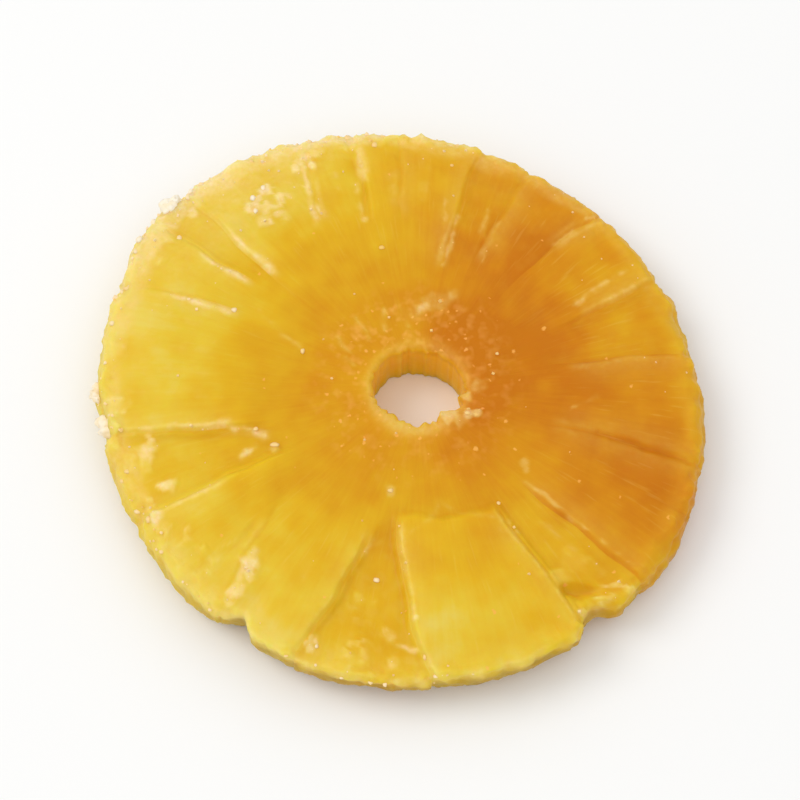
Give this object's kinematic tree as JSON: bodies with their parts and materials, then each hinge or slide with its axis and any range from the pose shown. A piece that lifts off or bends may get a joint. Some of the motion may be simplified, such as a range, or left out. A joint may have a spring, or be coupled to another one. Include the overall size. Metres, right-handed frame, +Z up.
{
  "type": "pineapple ring",
  "caption": "Round slice of candied pineapple lying flat, with a punched core hole, creased fruitlet wedges and an uneven rounded rim.",
  "frame": {"origin": "middle of the slice's box, on the surface that it rests on", "axes": "+Z up through the core's hole; -Y towards the side with the largest raised fruitlet; +X to the right of it"},
  "size_m": [0.0782, 0.078, 0.0089],
  "materials": {
    "candied_flesh": "translucent sugar-glazed fruit, yellow at the rim and amber round the core, with a slight sugar crust"
  },
  "bodies": {
    "root": {"pineapple_ring": "candied_flesh"}
  },
  "joints": []
}
